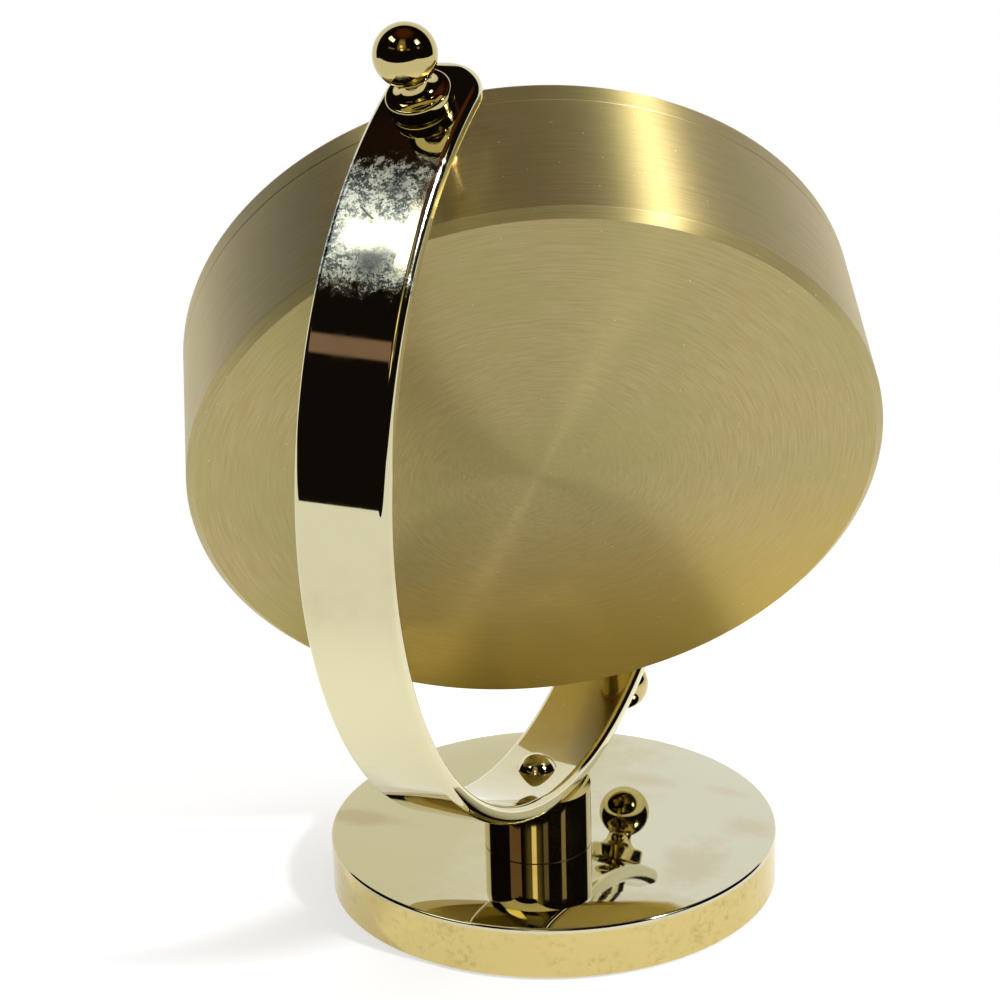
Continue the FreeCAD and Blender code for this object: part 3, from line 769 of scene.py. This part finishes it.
def makeStrip():
    inner, outer, roll, steps = strip["inner"], strip["outer"], strip["roll"], strip["rollSteps"]
    mesh = bmesh.new()
    profile = []
    for step in range(steps + 1):
        turn = math.pi / 2 * step / steps
        profile.append((roll * (1 - math.sin(turn)), outer - roll + roll * math.cos(turn)))
    profile += [(inset, outer + inner - radius) for inset, radius in reversed(profile)]
    loops = [[mesh.verts.new(Vector(spot) * mm) for spot in stripOutline(*level)] for level in profile]
    for low, high in zip(loops, loops[1:]):
        ringFaces(mesh, low, high)
    for loop in (loops[0], loops[-1]):
        half = len(loop) // 2
        for k in range(half - 1):
            mesh.faces.new((loop[k], loop[k + 1], loop[-k - 2], loop[-k - 1]))
    piece = meshPiece("bent_strip", mesh, finishes["strip"], pivotFrame())
    dress(piece, "stand", "polished_brass", "arm")


makeStrip()
print("strip bent")


# hands: slim batons with a ridge, on turned hubs
hands = {
    "hour": {"length": 20.0, "tail": 0.0, "width": 3.0, "top": 5.0, "hub": 2.4, "bore": 1.5, "angle": 305.0},
    "minute": {"length": 30.0, "tail": 0.0, "width": 2.2, "top": 6.1, "hub": 2.4, "bore": 0.95, "angle": 60.0},
    "second": {"length": 32.0, "tail": 9.0, "width": 0.7, "top": 7.2, "hub": 0.9, "bore": 0.45, "angle": 210.0},
}
handBlade = {"edge": 0.18, "ridge": 0.32, "collar": 0.9}


def makeHand(name, look):
    bottom = look["top"] - handBlade["collar"]
    mesh = bmesh.new()
    side, tip = look["width"] / 2, look["width"] / 4
    rows = []
    for y, half in ((-look["tail"], side), (look["length"] / 2, side), (look["length"], tip)):
        spots = ((-half, 0), (half, 0), (half, handBlade["edge"]), (0, handBlade["ridge"]),
                 (-half, handBlade["edge"]))
        rows.append([mesh.verts.new(Vector((x, y, bottom + z)) * mm) for x, z in spots])
    for low, high in zip(rows, rows[1:]):
        ringFaces(mesh, low, high)
    mesh.faces.new(rows[0])
    mesh.faces.new(rows[-1])
    matrix = dialFrame() @ Matrix.Rotation(-math.radians(look["angle"]), 4, "Z")
    blade = meshPiece(name + "_hand_blade", mesh, finishes["hand_black"], matrix, smooth=False)
    dress(blade, name + "_work", "hand_black", name + "_hand")
    line = rounded([(look["bore"], bottom, 0), (look["hub"], bottom, 0), (look["hub"], look["top"], 0.25),
                    (look["bore"], look["top"], 0.05)], 5)
    hub = meshPiece(name + "_hand_hub", turnedMesh(line, 96), finishes["hand_black"], matrix)
    dress(hub, name + "_work", "hand_black", name + "_hand")


for name, look in hands.items():
    makeHand(name, look)
print("hands set")


# print on the dial, the date ring and the day disc
printing = {
    "dialTop": 3.8,
    "calendarTop": 2.9,
    "ink": 0.02,
    "hourRadius": 28.2,
    "hourSize": 6.6,
    "trackOuter": 35.6,
    "minuteMark": (1.5, 0.18),
    "fiveMark": (2.3, 0.5),
    "dateRadius": 26.1,
    "dateSize": 4.4,
    "dateAtWindow": 12,
    "dayRadius": 16.2,
    "daySize": 3.1,
    "dayAtWindow": 3,
    "days": ("MON", "TUE", "WED", "THU", "FRI", "SAT", "SUN"),
}


def lettering(name, labels, level, body, slot):  # labels are (words, size, matrix in the dial's plane)
    mesh = bmesh.new()
    for words, size, matrix in labels:
        text = bpy.data.curves.new("words", "FONT")
        text.body = words
        text.size = size * mm
        text.align_x = "CENTER"
        text.align_y = "CENTER"
        text.extrude = printing["ink"] * mm / 2
        text.resolution_u = 6
        shape = bpy.data.objects.new("words", text)
        data = bpy.data.meshes.new_from_object(shape)
        data.transform(matrix)
        mesh.from_mesh(data)
        bpy.data.objects.remove(shape)
        bpy.data.meshes.remove(data)
    bmesh.ops.remove_doubles(mesh, verts=mesh.verts, dist=1e-7)
    lift = Matrix.Translation((0, 0, (level + printing["ink"] / 2) * mm))
    piece = meshPiece(name, mesh, finishes[slot], dialFrame() @ lift, smooth=False)
    dress(piece, body, slot)


def onDial(radius, clockwise, upright=True):  # a place on the dial, clockwise from twelve
    turn = math.radians(clockwise)
    spot = Matrix.Translation((radius * math.sin(turn) * mm, radius * math.cos(turn) * mm, 0))
    return spot if upright else spot @ Matrix.Rotation(math.radians(90) - turn, 4, "Z")


def makeNumerals():
    labels = [(str(hour), printing["hourSize"], onDial(printing["hourRadius"], 30 * hour))
              for hour in range(1, 13) if hour != 3]
    lettering("dial_numerals", labels, printing["dialTop"], "insert", "hand_black")


def makeTrack():
    mesh = bmesh.new()
    for minute in range(60):
        length, width = printing["minuteMark"] if minute % 5 else printing["fiveMark"]
        reach = printing["trackOuter"] - length / 2
        place = onDial(reach, 6 * minute, upright=False) @ Matrix.Diagonal((length * mm, width * mm,
                                                                            printing["ink"] * mm, 1))
        bmesh.ops.create_cube(mesh, size=1.0, matrix=place)
    lift = Matrix.Translation((0, 0, (printing["dialTop"] + printing["ink"] / 2) * mm))
    piece = meshPiece("dial_track", mesh, finishes["hand_black"], dialFrame() @ lift, smooth=False)
    dress(piece, "insert", "hand_black")


def makeDates():
    labels = []
    for date in range(1, 32):
        away = (date - printing["dateAtWindow"]) * 360 / 31
        labels.append((str(date), printing["dateSize"], onDial(printing["dateRadius"], 90 + away, False)))
    lettering("date_numerals", labels, printing["calendarTop"], "date_display", "hand_black")
    labels = []
    for number, day in enumerate(printing["days"]):
        away = (printing["dayAtWindow"] - 1 - number) * 360 / 7
        labels.append((day, printing["daySize"], onDial(printing["dayRadius"], 90 + away, False)))
    lettering("day_names", labels, printing["calendarTop"], "day_display", "hand_black")


# raised frames round the two calendar windows
windows = {
    "date": (23.4, 28.8, -2.6, 2.6),
    "day": (12.2, 20.2, -2.6, 2.6),
    "width": 0.5,
    "height": 0.22,
    "bevel": 0.07,
}


def makeWindow(name):
    left, right, low, high = windows[name]
    wide, tall = windows["width"], windows["height"]
    base = printing["dialTop"]
    mesh = bmesh.new()
    loops = []
    for grow, z in ((0, base), (wide, base), (wide, base + tall), (0, base + tall)):
        spots = ((left - grow, low - grow), (right + grow, low - grow), (right + grow, high + grow),
                 (left - grow, high + grow))
        loops.append([mesh.verts.new(Vector((x, y, z)) * mm) for x, y in spots])
    for first, second in zip(loops, loops[1:] + loops[:1]):
        ringFaces(mesh, first, second)
    piece = meshPiece(name + "_window_frame", mesh, finishes["chapter_brass"], dialFrame(), smooth=False)
    soft = piece.modifiers.new("soft", "BEVEL")
    soft.width = windows["bevel"] * mm
    soft.segments = 2
    dress(piece, "insert", "chapter_brass")


makeNumerals()
makeTrack()
makeDates()
makeWindow("date")
makeWindow("day")
print("dial printed")
